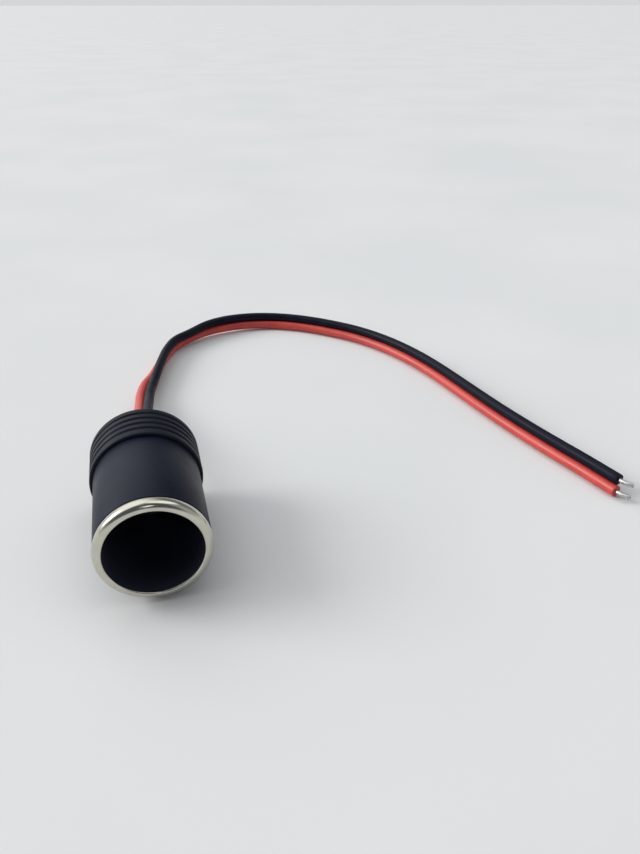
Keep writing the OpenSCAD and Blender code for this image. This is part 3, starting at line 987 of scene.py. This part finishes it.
# %% Dress the CAD nodes
INNER_PIECES = {
    "centre_contact": brass, "contact_bush": phenolic, "positive_tag": tag_brass,
    "negative_tag": tag_brass, "positive_solder": solder, "negative_solder": solder,
    "ground_rivet": steel, "red_lead": copper, "black_lead": copper, "cable_tie": nylon,
}
for cad_name, material in INNER_PIECES.items():
    for worn in nodes[cad_name].material_slots:
        worn.link = "OBJECT"
        worn.material = material
    print(cad_name, "wears", material.name)

# %% [markdown]
# Floor
# The photograph shows a pale table. A box would end in the view, so one large face that reaches
# to the horizon stands in for it. It lies just under the part, because two surfaces in the same
# place would flicker.

# %% Floor
REACH = 40.0
FLOOR_BELOW = 0.05 * MM
corners = [(-REACH, -REACH, 0), (REACH, -REACH, 0), (REACH, REACH, 0), (-REACH, REACH, 0)]
floor_mesh = bpy.data.meshes.new("floor")
floor_mesh.from_pydata(corners, [], [(0, 1, 2, 3)])
floor = bpy.data.objects.new("floor", floor_mesh)
scene.collection.objects.link(floor)
floor.location.z = -FLOOR_BELOW
pale_table = finish("pale table", (0.70, 0.72, 0.73), (0.73, 0.74, 0.75), rough=(0.75, 0.85),
                    grain=(900, 8), relief=(0.1, 0.1), Specular_IOR_Level=0.2)
dress(floor, pale_table)

# %% [markdown]
# Sun
# A large window low on the left gives the long soft shadow to the right. An area lamp would do
# for one view, but its light falls off with distance. A sun with a wide angle lights the whole
# table evenly and still has a soft edge.

# %% Sun
SUN_FROM = (-0.85, 0.3, 0.5)
SUN_SPREAD_DEG = 28
SUN_STRENGTH = 1.75
SUN_TONE = (1.0, 0.99, 0.97)

window = bpy.data.objects.new("left window", bpy.data.lights.new("left window", "SUN"))
window.data.energy = SUN_STRENGTH
window.data.angle = math.radians(SUN_SPREAD_DEG)
window.data.color = SUN_TONE
window.rotation_euler = Vector(SUN_FROM).to_track_quat("Z", "Y").to_euler()
scene.collection.objects.link(window)

# %% [markdown]
# Sky
# Polished metal is a map of its room, so the room was read off the lip: a bright window wall on
# the left and behind, a bright ceiling, a weaker window on the right and a dim side behind the
# camera, with one small lamp in it. The sky has one soft patch for each of these. Real walls
# round the table would do it too, but they would cut off the other views. Near the horizon the
# sky fades to the pale tone of the table.

# %% Soft patches of sky
world = bpy.data.worlds.new("pale room")
scene.world = world
world.use_nodes = True
sky = world.node_tree
looking = add(sky, "TexCoord").outputs["Generated"]


def sky_patch(towards, edge_cos, full_cos):
    """1 in one direction of the sky, falling to 0 at the edge of a round patch."""
    near = add(sky, "VectorMath", operation="DOT_PRODUCT")
    feed(sky, looking, near.inputs[0])
    near.inputs[1].default_value = Vector(towards).normalized()
    return remap(sky, near.outputs["Value"], edge_cos, full_cos)


print("sky patches fall off smoothly at their edges")

# %% The room in the sky
ROOM_TONE = (0.15, 0.155, 0.165)
# direction, cosine at the patch's edge, cosine where it is full, and tone
ROOM = {
    "window wall": ((-0.62, 0.52, 0.58), 0.52, 0.88, (1.0, 1.0, 1.0)),
    "ceiling": ((0.36, 0.12, 0.92), 0.87, 0.95, (1.0, 1.0, 1.0)),
    "far window": ((0.85, -0.45, 0.3), 0.7, 0.95, (0.33, 0.335, 0.34)),
    "dim side": ((-0.15, -0.9, 0.4), 0.5, 0.8, (0.08, 0.082, 0.09)),
    "small lamp": ((-0.02, -0.8, 0.6), 0.99, 0.997, (1.35, 1.5, 1.4)),
}

tone = ROOM_TONE
for towards, edge_cos, full_cos, patch_tone in ROOM.values():
    tone = mix_colour(sky, sky_patch(towards, edge_cos, full_cos), tone, patch_tone)
print("patches in the sky:", list(ROOM))

# %% Horizon and strength
HORIZON_TONE = (0.47, 0.48, 0.49)
HORIZON_FADE = (0.04, 0.22)
SKY_STRENGTH = 1.4

height = add(sky, "SeparateXYZ")
feed(sky, looking, height.inputs[0])
near_horizon = remap(sky, height.outputs["Z"], *HORIZON_FADE, 1.0, 0.0)
tone = mix_colour(sky, near_horizon, tone, HORIZON_TONE)
background = sky.nodes["Background"]
feed(sky, tone, background.inputs["Color"])
background.inputs["Strength"].default_value = SKY_STRENGTH
print("sky nodes:", len(sky.nodes))
